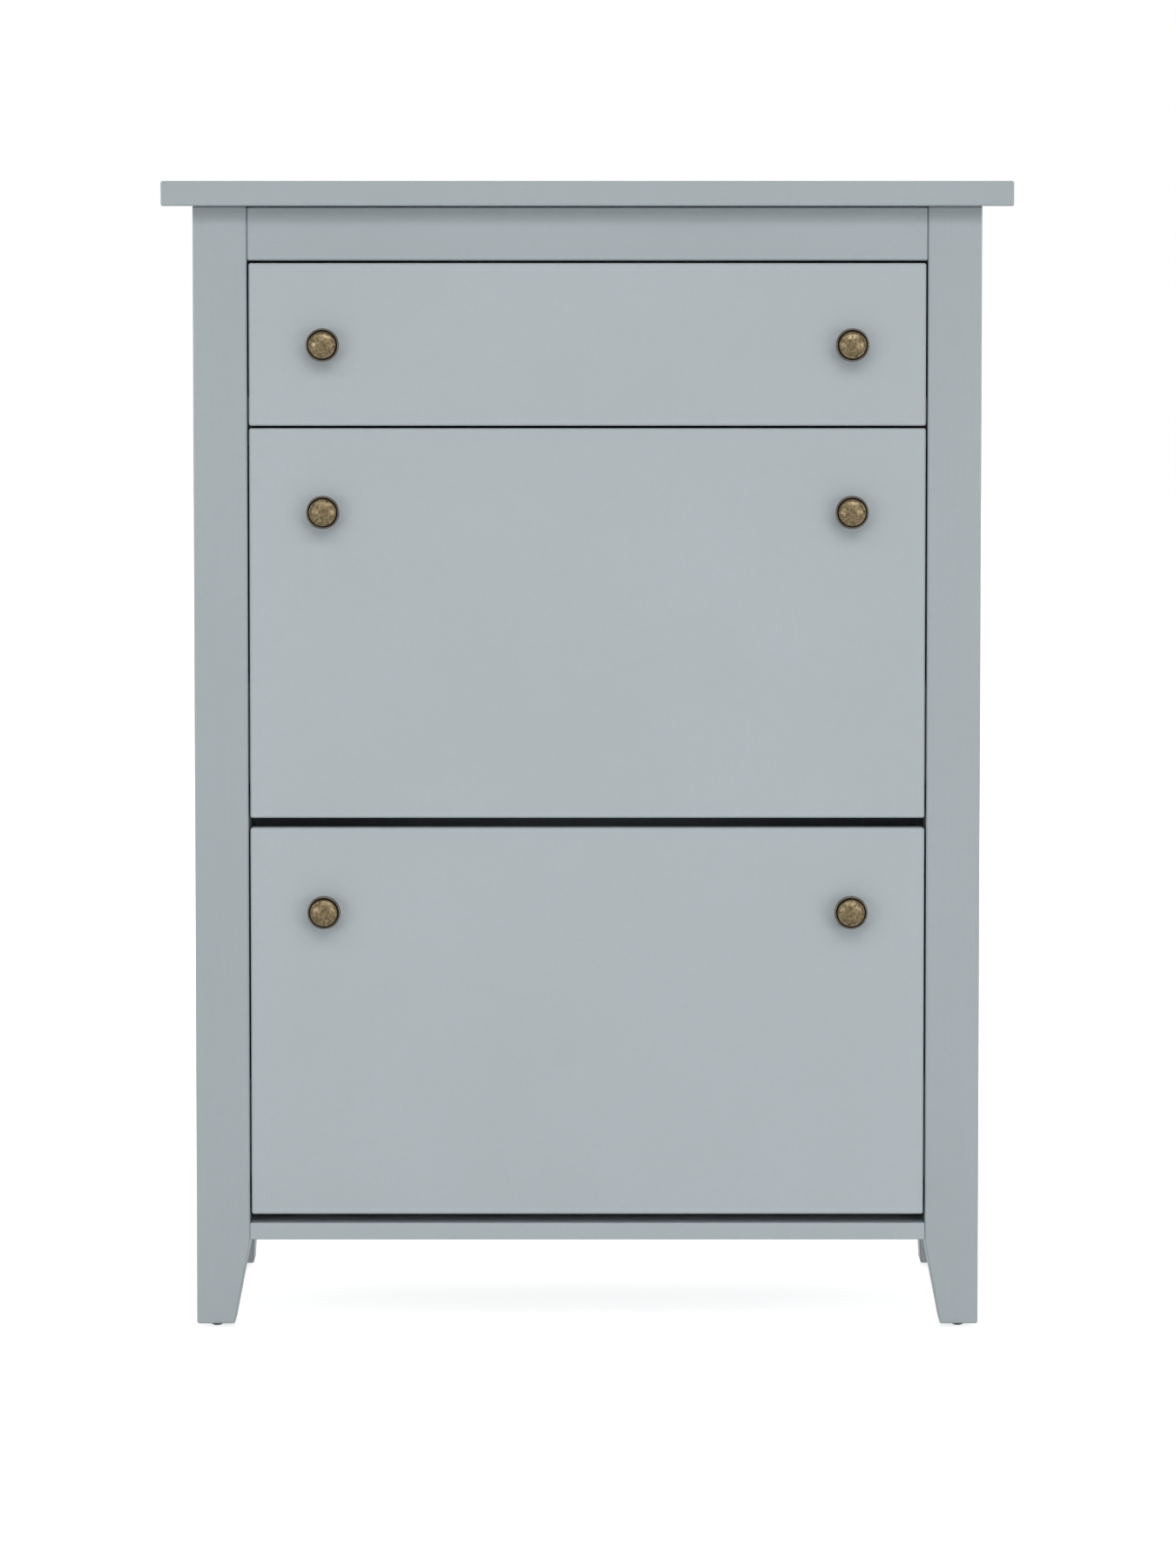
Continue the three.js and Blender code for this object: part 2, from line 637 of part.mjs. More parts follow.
function frontPanel(name, underside, height) {
  const geometry = easedBoard(FRONT_WIDTH, FRONT_THICKNESS, height);
  return namedMesh(name, geometry, 'paint', [0, FRONT_Y + FRONT_THICKNESS / 2, underside + height / 2]);
}

// ---------------------------------------------------------------- drawer

function drawerSide(name, side) {
  const low = DRAWER_SIDE_BOTTOM;
  const grooveLow = DRAWER_GROOVE_UP - SEAT_GAP;
  const grooveHigh = DRAWER_GROOVE_UP + DRAWER_BOTTOM_THICKNESS + SEAT_GAP;
  const board = easedBoard(DRAWER_SIDE_THICKNESS, DRAWER_LENGTH, DRAWER_SIDE_HEIGHT, DRAWER_EASE);
  board.translate(DRAWER_SIDE_THICKNESS / 2, DRAWER_LENGTH / 2, DRAWER_SIDE_HEIGHT / 2);
  const groove = block(
    [DRAWER_SIDE_THICKNESS - DRAWER_GROOVE_DEPTH, -1, grooveLow],
    [DRAWER_SIDE_THICKNESS + 1, DRAWER_LENGTH + 1, grooveHigh],
  );
  const geometry = forSide(combine([board], [groove]), side);
  return namedMesh(name, geometry, 'board', [side * DRAWER_HALF_WIDTH, FRONT_BACK_Y, low]);
}

function drawerBack() {
  const bottomTop = DRAWER_GROOVE_UP + DRAWER_BOTTOM_THICKNESS + SEAT_GAP;
  const height = DRAWER_SIDE_HEIGHT - bottomTop;
  const width = 2 * (DRAWER_HALF_WIDTH - DRAWER_SIDE_THICKNESS - SEAT_GAP);
  const geometry = easedBoard(width, DRAWER_SIDE_THICKNESS, height, DRAWER_EASE);
  return namedMesh('drawer_back', geometry, 'board', [
    0,
    DRAWER_REAR_Y - DRAWER_SIDE_THICKNESS / 2,
    DRAWER_SIDE_BOTTOM + bottomTop + height / 2,
  ]);
}

function drawerBottom() {
  const reach = DRAWER_SIDE_THICKNESS - DRAWER_GROOVE_DEPTH + SEAT_GAP;
  const width = 2 * (DRAWER_HALF_WIDTH - reach);
  const frontY = FRONT_BACK_Y + SEAT_GAP;
  const geometry = easedBoard(width, DRAWER_REAR_Y - frontY, DRAWER_BOTTOM_THICKNESS, DRAWER_EASE / 2);
  return namedMesh('drawer_bottom', geometry, 'board', [
    0,
    (DRAWER_REAR_Y + frontY) / 2,
    DRAWER_SIDE_BOTTOM + DRAWER_GROOVE_UP + DRAWER_BOTTOM_THICKNESS / 2,
  ]);
}

function drawer() {
  const group = new THREE.Group();
  const knobZ = DRAWER_BOTTOM + DRAWER_FRONT_HEIGHT / 2;
  group.add(
    frontPanel('drawer_front', DRAWER_BOTTOM, DRAWER_FRONT_HEIGHT),
    drawerSide('drawer_left_side', -1),
    drawerSide('drawer_right_side', 1),
    drawerBack(),
    drawerBottom(),
    drawerMember('drawer_left_runner', -1),
    drawerMember('drawer_right_runner', 1),
    roller('rear_left_roller', -1, REAR_ROLLER_RADIUS, REAR_ROLLER_Y, REAR_ROLLER_Z),
    roller('rear_right_roller', 1, REAR_ROLLER_RADIUS, REAR_ROLLER_Y, REAR_ROLLER_Z),
    knob('drawer_left_knob', -1, knobZ),
    knob('drawer_right_knob', 1, knobZ),
  );
  return group;
}

// ---------------------------------------------------------------- tip-out mechanism
// Each flap turns on two pivot pins. Distances here run from the pivot: y rearwards, z up, and x
// inwards from the face of the leg.

// A point on a sloping bin board: along its length, and up from its middle plane.
function onSlope(rise, along, up) {
  const startY = PANEL_BACK + RIB_THICKNESS + SEAT_GAP + (BIN_BOARD / 2) * Math.sin(SLOPE);
  const y = startY + along * Math.cos(SLOPE) + up * Math.sin(SLOPE);
  const z = rise - along * Math.sin(SLOPE) + up * Math.cos(SLOPE);
  return [y, z];
}

function slopedRib(rise, fromAlong, toAlong, fromUp, toUp) {
  const corners = [
    onSlope(rise, fromAlong, fromUp),
    onSlope(rise, toAlong, fromUp),
    onSlope(rise, toAlong, toUp),
    onSlope(rise, fromAlong, toUp),
  ];
  return new THREE.Shape(corners.map(([y, z]) => new THREE.Vector2(y, z)));
}

// An arc band about the pivot with round ends, from one angle to another in degrees.
function arcBand(halfWidth, fromAngle, toAngle) {
  const from = THREE.MathUtils.degToRad(fromAngle);
  const to = THREE.MathUtils.degToRad(toAngle);
  const centre = (angle) => [STOP_RADIUS * Math.cos(angle), STOP_RADIUS * Math.sin(angle)];
  const shape = new THREE.Shape();
  shape.absarc(0, 0, STOP_RADIUS + halfWidth, from, to, false);
  shape.absarc(...centre(to), halfWidth, to, to + Math.PI, false);
  shape.absarc(0, 0, STOP_RADIUS - halfWidth, to, from, true);
  shape.absarc(...centre(from), halfWidth, from + Math.PI, from + 2 * Math.PI, false);
  return shape;
}

// The height of a sloping board's middle plane at a distance behind the pivot.
function slopeHeight(rise, y) {
  const [startY, startZ] = onSlope(rise, 0, 0);
  return startZ - (y - startY) * Math.tan(SLOPE);
}

const [FLOOR_END_Y, FLOOR_END_Z] = onSlope(FLOOR_RISE, FLOOR_LENGTH, 0);
const [DIVIDER_END_Y, DIVIDER_END_Z] = onSlope(DIVIDER_RISE, DIVIDER_LENGTH, 0);
const BIN_BACK_Y = FLOOR_END_Y + UPRIGHT_GAP;
const BIN_LIP_Y = DIVIDER_END_Y + UPRIGHT_GAP;
const BIN_BACK_LOW = FLOOR_END_Z - UPRIGHT_DROP;
const BIN_LIP_LOW = DIVIDER_END_Z - UPRIGHT_DROP;
const FLANGE_TOP = FLAP_HEIGHT - PIVOT_RISE - FLANGE_TOP_DROP;

function plateCorners() {
  const pocket = BIN_BOARD + SEAT_GAP + RIB_THICKNESS;
  const rearY = BIN_BACK_Y + pocket;
  const lipTop = BIN_LIP_LOW + BIN_LIP_HEIGHT;
  return [
    [PANEL_BACK, -FOOT_DROP, CORNERS.tight],
    [FOOT_REACH, -FOOT_DROP, CORNERS.easy],
    [BELLY_REACH, FLOOR_RISE - BELLY_DROP, CORNERS.easy],
    [rearY, BIN_BACK_LOW - RIB_THICKNESS - HEEL_MARGIN, CORNERS.small],
    [rearY, BIN_BACK_LOW + BIN_BACK_HEIGHT + BACK_MARGIN, CORNERS.medium],
    [BIN_LIP_Y + pocket, lipTop + LIP_MARGIN, CORNERS.medium],
    [SHOULDER_REACH, lipTop + SHOULDER_MARGIN, CORNERS.wide],
    [NECK_REACH, lipTop + NECK_MARGIN, CORNERS.wide],
    [FLANGE_HEAD_REACH, FLANGE_TOP, CORNERS.small],
    [PANEL_BACK, FLANGE_TOP, CORNERS.tight],
  ];
}

// The window lies between the two tiers and keeps clear of their ledges.
function plateWindow() {
  const rearY = BIN_BACK_Y - WINDOW_FRAME;
  const lipY = BIN_LIP_Y - WINDOW_LIP_GAP;
  const overFloor = (y) => slopeHeight(FLOOR_RISE, y) + WINDOW_FLOOR_GAP;
  const underDivider = (y) => slopeHeight(DIVIDER_RISE, y) - WINDOW_DIVIDER_GAP;
  return roundedOutline([
    [WINDOW_FRONT, overFloor(WINDOW_FRONT)],
    [rearY, overFloor(rearY)],
    [rearY, BIN_BACK_LOW + BIN_BACK_HEIGHT - HEEL_MARGIN],
    [lipY, underDivider(lipY)],
    [WINDOW_FRONT, underDivider(WINDOW_FRONT)],
  ].map((corner) => [...corner, CORNERS.medium]));
}

// The moulded side of a shoe bin: web, edge flange, ledges for the boards, pivot hub, a curved slot
// for the stop pin with a raised rim, and a flange that is screwed to the back of the front.
function binPlate() {
  const corners = plateCorners();
  const rimInner = WEB_INNER + EDGE_RIM;
  const webMiddle = PLATE_OUTER + WEB_THICKNESS / 2;
  const tray = combine(
    [sideExtrusion(roundedOutline(corners), PLATE_OUTER, rimInner)],
    [sideExtrusion(roundedOutline(insetCorners(corners, RIB_THICKNESS)), WEB_INNER, rimInner + 1)],
  );
  const boardUnder = -BIN_BOARD / 2 - SEAT_GAP;
  const ledges = [
    [FLOOR_RISE, FLOOR_LENGTH],
    [DIVIDER_RISE, DIVIDER_LENGTH],
  ].map(([rise, length]) => sideExtrusion(
    slopedRib(rise, LEDGE_SETBACK, length, boardUnder - RIB_THICKNESS, boardUnder),
    webMiddle,
    PLATE_OUTER + LEDGE_REACH,
  ));
  const slotWidth = STOP_PIN_RADIUS + STOP_CLEARANCE;
  const slotBand = (halfWidth) => arcBand(halfWidth, 90 - FLAP_OPENING, 90);
  const hub = pinAlongX(PIVOT_PIN_RADIUS + HUB_WALL, webMiddle, PLATE_OUTER + HUB_LENGTH, 0, 0);
  const rimBand = slotBand(slotWidth + SLOT_RIM_WIDTH);
  const slotRim = sideExtrusion(rimBand, webMiddle, WEB_INNER + SLOT_RIM_HEIGHT);
  const flangeLow = FLOOR_RISE + SCREW_FLANGE_LIFT;
  const flangeHigh = FLANGE_TOP - SCREW_FLANGE_MARGIN;
  const screwFlange = block(
    [webMiddle, PANEL_BACK + SEAT_GAP, flangeLow],
    [PLATE_OUTER + SCREW_FLANGE_WIDTH, PANEL_BACK + RIB_THICKNESS, flangeHigh],
  );
  const screwStep = (flangeHigh - flangeLow - 2 * SCREW_END_MARGIN) / (SCREW_HOLE_COUNT - 1);
  const screwHoles = Array.from({ length: SCREW_HOLE_COUNT }, (_, i) => {
    const hole = new THREE.CylinderGeometry(SCREW_HOLE_RADIUS, SCREW_HOLE_RADIUS, RIB_THICKNESS + 2, 12);
    const z = flangeLow + SCREW_END_MARGIN + i * screwStep;
    return hole.translate(PLATE_OUTER + SCREW_HOLE_INSET, PANEL_BACK + RIB_THICKNESS / 2, z);
  });
  const bore = pinAlongX(PIVOT_PIN_RADIUS + SEAT_GAP, PLATE_OUTER - 1, PLATE_OUTER + HUB_LENGTH + 1, 0, 0);
  const slot = sideExtrusion(slotBand(slotWidth), PLATE_OUTER - 1, WEB_INNER + SLOT_RIM_HEIGHT + 1);
  const window = sideExtrusion(plateWindow(), PLATE_OUTER - 1, WEB_INNER + 1);
  return combine([tray, ...ledges, hub, slotRim, screwFlange], [bore, slot, window, ...screwHoles]);
}

// A steel plate on the leg with the pivot pin and the headed stop pin.
function pivotBracket() {
  const plate = roundedOutline([
    [-BRACKET_HALF_WIDTH, -BRACKET_MARGIN],
    [BRACKET_HALF_WIDTH, -BRACKET_MARGIN],
    [BRACKET_HALF_WIDTH, STOP_RADIUS + BRACKET_MARGIN],
    [-BRACKET_HALF_WIDTH, STOP_RADIUS + BRACKET_MARGIN],
  ].map((corner) => [...corner, BRACKET_CORNER]));
  const headStart = WEB_INNER + SLOT_RIM_HEIGHT + STOP_CLEARANCE;
  const headEnd = headStart + STOP_HEAD_THICKNESS;
  return combine([
    sideExtrusion(plate, 0, BRACKET_GAUGE),
    pinAlongX(PIVOT_PIN_RADIUS, 0, PLATE_OUTER + HUB_LENGTH, 0, 0),
    pinAlongX(STOP_PIN_RADIUS, 0, (headStart + headEnd) / 2, 0, STOP_RADIUS),
    pinAlongX(STOP_PIN_RADIUS + STOP_HEAD_RIM, headStart, headEnd, 0, STOP_RADIUS),
  ]);
}

const BIN_PLATE = binPlate();
const PIVOT_BRACKET = pivotBracket();

function slopedBoard(name, rise, length) {
  const geometry = easedBoard(2 * BIN_HALF_WIDTH, length, BIN_BOARD, BOARD_EASE);
  const [y, z] = onSlope(rise, length / 2, 0);
  const mesh = namedMesh(name, geometry, 'board', [0, y, z]);
  mesh.rotation.x = -SLOPE;
  return mesh;
}

function uprightBoard(name, y, underside, height) {
  const geometry = easedBoard(2 * BIN_HALF_WIDTH, BIN_BOARD, height, BOARD_EASE);
  return namedMesh(name, geometry, 'board', [0, y + BIN_BOARD / 2, underside + height / 2]);
}

function flap(prefix, underside) {
  const bin = new THREE.Group();
  bin.position.set(0, PIVOT_Y, underside + PIVOT_RISE);
  bin.add(
    namedMesh(`${prefix}_left_bin_plate`, forSide(BIN_PLATE, -1), 'plastic', [-HALF_OPENING, 0, 0]),
    namedMesh(`${prefix}_right_bin_plate`, forSide(BIN_PLATE, 1), 'plastic', [HALF_OPENING, 0, 0]),
    slopedBoard(`${prefix}_bin_floor`, FLOOR_RISE, FLOOR_LENGTH),
    slopedBoard(`${prefix}_bin_divider`, DIVIDER_RISE, DIVIDER_LENGTH),
    uprightBoard(`${prefix}_bin_back`, BIN_BACK_Y, BIN_BACK_LOW, BIN_BACK_HEIGHT),
    uprightBoard(`${prefix}_bin_lip`, BIN_LIP_Y, BIN_LIP_LOW, BIN_LIP_HEIGHT),
  );
  const knobZ = underside + FLAP_HEIGHT - FLAP_KNOB_DROP;
  const group = new THREE.Group();
  group.add(
    frontPanel(`${prefix}_flap_front`, underside, FLAP_HEIGHT),
    knob(`${prefix}_left_knob`, -1, knobZ),
    knob(`${prefix}_right_knob`, 1, knobZ),
    bin,
  );
  return group;
}

function pivotBrackets(prefix, underside) {
  return [['left', -1], ['right', 1]].map(([name, side]) => namedMesh(
    `${prefix}_${name}_pivot_bracket`,
    forSide(PIVOT_BRACKET, side),
    'steel',
    [side * HALF_OPENING, PIVOT_Y, underside + PIVOT_RISE],
  ));
}

// ---------------------------------------------------------------- assembly

function carcass() {
  const group = new THREE.Group();
  [['front', -1], ['rear', 1]].forEach(([place, end]) => {
    [['left', -1], ['right', 1]].forEach(([hand, side]) => {
      group.add(leg(`${place}_${hand}_leg`, side, end), glide(`${place}_${hand}_glide`, side, end));
    });
  });
  [['left', -1], ['right', 1]].forEach(([hand, side]) => {
    group.add(
      sidePanel(`${hand}_side_panel`, side),
      runnerBatten(`${hand}_runner_batten`, side),
      runnerChannel(`${hand}_runner_channel`, side),
      roller(`front_${hand}_roller`, side, FRONT_ROLLER_RADIUS, FRONT_ROLLER_Y, FRONT_ROLLER_Z),
    );
  });
  group.add(
    topPanel(),
    rail('top_rail', HALF_OPENING, FRONT_Y + RAIL_RECESS, RAIL_BOTTOM, TOP_RAIL_HEIGHT, 'paint'),
    rail(
      'middle_rail',
      HALF_OPENING,
      INNER_FRONT_Y,
      MID_RAIL_TOP - MID_RAIL_HEIGHT,
      MID_RAIL_HEIGHT,
      'paint',
    ),
    rail(
      'rear_top_rail',
      REAR_HALF_OPENING,
      INNER_BACK_Y - RAIL_THICKNESS,
      TOP_UNDERSIDE - REAR_RAIL_HEIGHT,
      REAR_RAIL_HEIGHT,
      'board',
    ),
    notchedBoard('bottom_panel', FRONT_Y + RAIL_RECESS, BOTTOM_UNDERSIDE, BOTTOM_THICKNESS, 'paint'),
    notchedBoard('drawer_shelf', INNER_FRONT_Y, SHELF_TOP - SHELF_THICKNESS, SHELF_THICKNESS, 'board'),
    backPanel(),
    ...pivotBrackets('upper', UPPER_FLAP_BOTTOM),
    ...pivotBrackets('lower', LOWER_FLAP_BOTTOM),
  );
  return group;
}

const cabinet = new THREE.Group();
cabinet.name = 'shoe_cabinet';
cabinet.add(
  carcass(),
  drawer(),
  flap('upper', UPPER_FLAP_BOTTOM),
  flap('lower', LOWER_FLAP_BOTTOM),
);

export default cabinet;
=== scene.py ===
import json
import math
import random

import bmesh
import bpy
from mathutils import Matrix, Vector

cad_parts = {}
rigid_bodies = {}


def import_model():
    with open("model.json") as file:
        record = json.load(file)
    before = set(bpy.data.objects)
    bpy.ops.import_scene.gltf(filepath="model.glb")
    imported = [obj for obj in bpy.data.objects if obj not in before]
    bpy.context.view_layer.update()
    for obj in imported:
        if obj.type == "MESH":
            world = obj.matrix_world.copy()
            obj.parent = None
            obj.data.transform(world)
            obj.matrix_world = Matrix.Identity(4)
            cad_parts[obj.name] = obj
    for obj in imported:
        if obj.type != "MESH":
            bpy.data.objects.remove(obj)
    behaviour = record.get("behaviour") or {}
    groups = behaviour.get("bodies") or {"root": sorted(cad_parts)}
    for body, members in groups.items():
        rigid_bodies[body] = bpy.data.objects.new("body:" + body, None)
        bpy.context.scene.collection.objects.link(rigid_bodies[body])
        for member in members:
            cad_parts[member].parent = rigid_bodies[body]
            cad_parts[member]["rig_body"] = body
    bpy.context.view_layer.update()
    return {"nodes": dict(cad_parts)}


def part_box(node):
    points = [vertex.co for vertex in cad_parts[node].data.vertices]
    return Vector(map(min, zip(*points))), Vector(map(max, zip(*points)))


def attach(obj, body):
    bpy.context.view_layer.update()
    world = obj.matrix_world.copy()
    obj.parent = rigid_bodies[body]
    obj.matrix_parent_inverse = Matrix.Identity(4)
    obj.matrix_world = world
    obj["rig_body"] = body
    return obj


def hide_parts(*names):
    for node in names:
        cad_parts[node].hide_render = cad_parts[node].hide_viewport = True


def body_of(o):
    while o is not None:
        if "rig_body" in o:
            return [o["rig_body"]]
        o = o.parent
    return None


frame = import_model()
MM = 0.001

# ---------------------------------------------------------------- camera and lamps

# Angles are in degrees, and the lens and sensor in mm. A part of the photograph's framing comes
# from the shift and the rest from the pitch, so that other views keep the cabinet in the frame.
CAMERA_PLACE = (-0.0037, -5.0818, 1.0)
CAMERA_PITCH = -3.513
CAMERA_YAW = -0.049
CAMERA_LENS = 128.19
CAMERA_SENSOR = 36
CAMERA_SHIFT = -0.15
CAMERA_REACH = 60

# Each lamp's name, place, target, width and height, power in watts, and spread in degrees.
FULL_SPREAD = 180
LAMPS = [
    ("key", (0.45, -4.6, 3.0), (0, 0, 0.4), (3.6, 1.6), 48, FULL_SPREAD),
    ("low_left", (-2.0, -3.2, 0.8), (0.1, -0.15, 0.05), (2.2, 0.6), 3.5, 70),
    ("low_right", (2.0, -3.2, 0.8), (-0.1, -0.15, 0.05), (2.2, 0.6), 3.9, 70),
    ("overhead", (0.0, -2.3, 2.6), (0, -0.1, 0.5), (4.4, 0.5), 25, FULL_SPREAD),
    ("left_side", (-3.2, 0.6, 1.5), (0, 0.1, 0.5), (1.8, 2.0), 30, FULL_SPREAD),
    ("right_side", (3.2, 0.6, 1.5), (0, 0.1, 0.5), (1.8, 2.0), 30, FULL_SPREAD),
    ("rear", (0.4, 3.6, 2.3), (0, 0, 0.5), (2.8, 1.8), 74, FULL_SPREAD),
]


def make_camera():
    data = bpy.data.cameras.new("camera")
    data.lens = CAMERA_LENS
    data.sensor_width = CAMERA_SENSOR
    data.shift_y = CAMERA_SHIFT
    data.clip_end = CAMERA_REACH
    camera = bpy.data.objects.new("camera", data)
    camera.location = CAMERA_PLACE
    camera.rotation_euler = (math.radians(90 + CAMERA_PITCH), 0, math.radians(CAMERA_YAW))
    bpy.context.scene.collection.objects.link(camera)
    bpy.context.scene.camera = camera


def make_lamps():
    for name, place, target, size, power, spread in LAMPS:
        data = bpy.data.lights.new(name, "AREA")
        data.shape = "RECTANGLE"
        data.size, data.size_y = size
        data.energy = power
        data.spread = math.radians(spread)
        lamp = bpy.data.objects.new(name, data)
        lamp.location = place
        direction = Vector(target) - Vector(place)
        lamp.rotation_euler = direction.to_track_quat("-Z", "Y").to_euler()
        bpy.context.scene.collection.objects.link(lamp)


# ---------------------------------------------------------------- material graphs


class Graph:
    """Builds one node material with short calls. Noise scales are in cycles per metre, and ramp
    positions run from 0 to 1."""

    def __init__(self, name):
        self.material = bpy.data.materials.new(name)
        self.material.use_nodes = True
        self.tree = self.material.node_tree
        self.shader = self.tree.nodes["Principled BSDF"]
        self.output = self.tree.nodes["Material Output"]
        self.place = self.add("ShaderNodeTexCoord").outputs["Object"]

    def add(self, kind, **settings):
        node = self.tree.nodes.new(kind)
        for key, value in settings.items():
            setattr(node, key, value)
        return node

    def link(self, source, target):
        self.tree.links.new(source, target)

    def stretched(self, scale, offset=(0, 0, 0)):
        """Object coordinates in metres, multiplied by a scale along each axis."""
        node = self.add("ShaderNodeMapping")
        node.inputs["Scale"].default_value = scale
        node.inputs["Location"].default_value = offset
        self.link(self.place, node.inputs["Vector"])
        return node.outputs["Vector"]

    def axes(self):
        """The outputs X, Y and Z of the object coordinates."""
        node = self.add("ShaderNodeSeparateXYZ")
        self.link(self.place, node.inputs["Vector"])
        return node.outputs

    def from_centre(self, first, second):
        """The distance from where both of these coordinates are 0."""
        squares = self.math("ADD", self.math("POWER", first, 2.0), self.math("POWER", second, 2.0))
        return self.math("SQRT", squares)

    def noise(self, scale, detail, roughness, vector=None, distortion=0.0):
        node = self.add("ShaderNodeTexNoise")
        node.inputs["Scale"].default_value = scale
        node.inputs["Detail"].default_value = detail
        node.inputs["Roughness"].default_value = roughness
        node.inputs["Distortion"].default_value = distortion
        self.link(self.place if vector is None else vector, node.inputs["Vector"])
        return node.outputs["Fac"]

    def ramp(self, factor, stops):
        """A colour ramp from (position, colour or grey) pairs."""
        node = self.add("ShaderNodeValToRGB")
        elements = node.color_ramp.elements
        while len(elements) < len(stops):
            elements.new(0.5)
        for element, (position, colour) in zip(elements, stops):
            element.position = position
            grey = isinstance(colour, (int, float))
            element.color = (colour, colour, colour, 1) if grey else (*colour, 1)
        self.link(factor, node.inputs["Fac"])
        return node.outputs["Color"]

    def mix(self, factor, base, colour):
        """Lays a plain colour over the base, as far as the factor says."""
        node = self.add("ShaderNodeMix", data_type="RGBA")
        factor_in, base_in, colour_in = node.inputs[0], node.inputs[6], node.inputs[7]
        self.link(factor, factor_in)
        self.link(base, base_in)
        colour_in.default_value = (*colour, 1)
        return node.outputs[2]

    def math(self, operation, first, second=0.0):
        node = self.add("ShaderNodeMath", operation=operation)
        for socket, value in ((node.inputs[0], first), (node.inputs[1], second)):
            if isinstance(value, (int, float)):
                socket.default_value = value
            else:
                self.link(value, socket)
        return node.outputs[0]

    def map_range(self, value, source, target=(0.0, 1.0), **settings):
        """Maps the source range of a value to the target range, and holds it beyond the ends."""
        node = self.add("ShaderNodeMapRange", **settings)
        node.inputs["From Min"].default_value, node.inputs["From Max"].default_value = source
        node.inputs["To Min"].default_value, node.inputs["To Max"].default_value = target
        self.link(value, node.inputs["Value"])
        return node.outputs["Result"]

    def bump(self, height, depth, strength, under=None):
        """Height is 0 to 1, and depth is what 1 stands for, in metres."""
        node = self.add("ShaderNodeBump")
        node.inputs["Strength"].default_value = strength
        node.inputs["Distance"].default_value = depth
        self.link(height, node.inputs["Height"])
        if under is not None:
            self.link(under, node.inputs["Normal"])
        return node.outputs["Normal"]

    def finish(self, colour, roughness, normal=None, **constants):
        """Links the shader, and sets what is the same all over on its own sockets."""
        self.link(colour, self.shader.inputs["Base Color"])
        self.link(roughness, self.shader.inputs["Roughness"])
        if normal is not None:
            self.link(normal, self.shader.inputs["Normal"])
        for name, value in constants.items():
            self.shader.inputs[name.replace("_", " ")].default_value = value
        return self.material


def srgb(red, green, blue):
    """8-bit screen colour to the linear colour that a shader takes."""
    def linear(value):
        value /= 255
        return value / 12.92 if value <= 0.04045 else ((value + 0.055) / 1.055) ** 2.4
    return (linear(red), linear(green), linear(blue))


def toned(colour, share):
    return tuple(channel * share for channel in colour)


# ---------------------------------------------------------------- finishes


def paint(name, colour, grain=None, seed=0.0, joint=None):
    """Sprayed satin paint: faint cloudiness, a fine stipple, and the grain of solid wood under it.
    grain is the scale along each axis, in cycles per metre, with the small one along the grain.
    joint is the height where a leg butts against the top. A dark band is painted just below it:
    partly where the paint stops short, and partly painted shade that stands in for the top's
    shadow."""
    g = Graph(name)
    offset = (seed, seed * 0.7, seed * 1.3)
    cloud = g.noise(5.0, 3, 0.6, g.stretched((1, 1, 1), offset))
    base = g.ramp(cloud, [(0.3, toned(colour, 0.975)), (0.7, toned(colour, 1.02))])
    fine = g.noise(260, 2, 0.6)
    base = g.mix(g.ramp(fine, [(0.35, 0.0), (0.75, 0.35)]), base, toned(colour, 0.93))
    scuffs = g.noise(17, 2, 0.4, g.stretched((1, 1, 1), (seed + 3.1, 1.7, seed)))
    base = g.mix(g.ramp(scuffs, [(0.73, 0.0), (0.8, 0.2)]), base, toned(colour, 0.9))
    stipple = g.noise(1100, 2, 0.5)
    normal = g.bump(stipple, 0.03 * MM, 0.5)
    wave = g.noise(45, 2, 0.4)
    normal = g.bump(wave, 0.12 * MM, 0.35, under=normal)
    if grain:
        fibres = g.noise(1.0, 4, 0.65, g.stretched(grain, offset), distortion=0.4)
        pores = g.ramp(fibres, [(0.42, 0.0), (0.62, 1.0)])
        normal = g.bump(pores, 0.05 * MM, 0.5, under=normal)
        base = g.mix(g.ramp(fibres, [(0.4, 0.22), (0.6, 0.0)]), base, toned(colour, 0.94))
    # Painted shade: the dark band at the top of the legs is partly the paint stopping short where
    # they butt against the top, and partly the shadow under the top, painted into the colour.
    if joint:
        joint_shadow = g.map_range(g.axes()["Z"], (joint - 2.2 * MM, joint - 0.8 * MM))
        base = g.mix(joint_shadow, base, toned(colour, 0.42))
    rough = g.ramp(g.noise(30, 3, 0.6), [(0.3, 0.40), (0.7, 0.5)])
    return g.finish(
        base, rough, normal, Specular_IOR_Level=0.45, Coat_Weight=0.04, Coat_Roughness=0.3
    )


def foil_board(name, colour):
    """Matt foil on thin board, with a fine pressed texture."""
    g = Graph(name)
    cloud = g.noise(9, 3, 0.6)
    base = g.ramp(cloud, [(0.3, toned(colour, 0.96)), (0.7, toned(colour, 1.03))])
    fleck = g.noise(1.0, 3, 0.6, g.stretched((90, 900, 900)))
    base = g.mix(g.ramp(fleck, [(0.45, 0.3), (0.65, 0.0)]), base, toned(colour, 0.88))
    normal = g.bump(g.noise(1400, 2, 0.5), 0.05 * MM, 0.6)
    rough = g.ramp(cloud, [(0.3, 0.58), (0.7, 0.68)])
    return g.finish(base, rough, normal, Specular_IOR_Level=0.35)


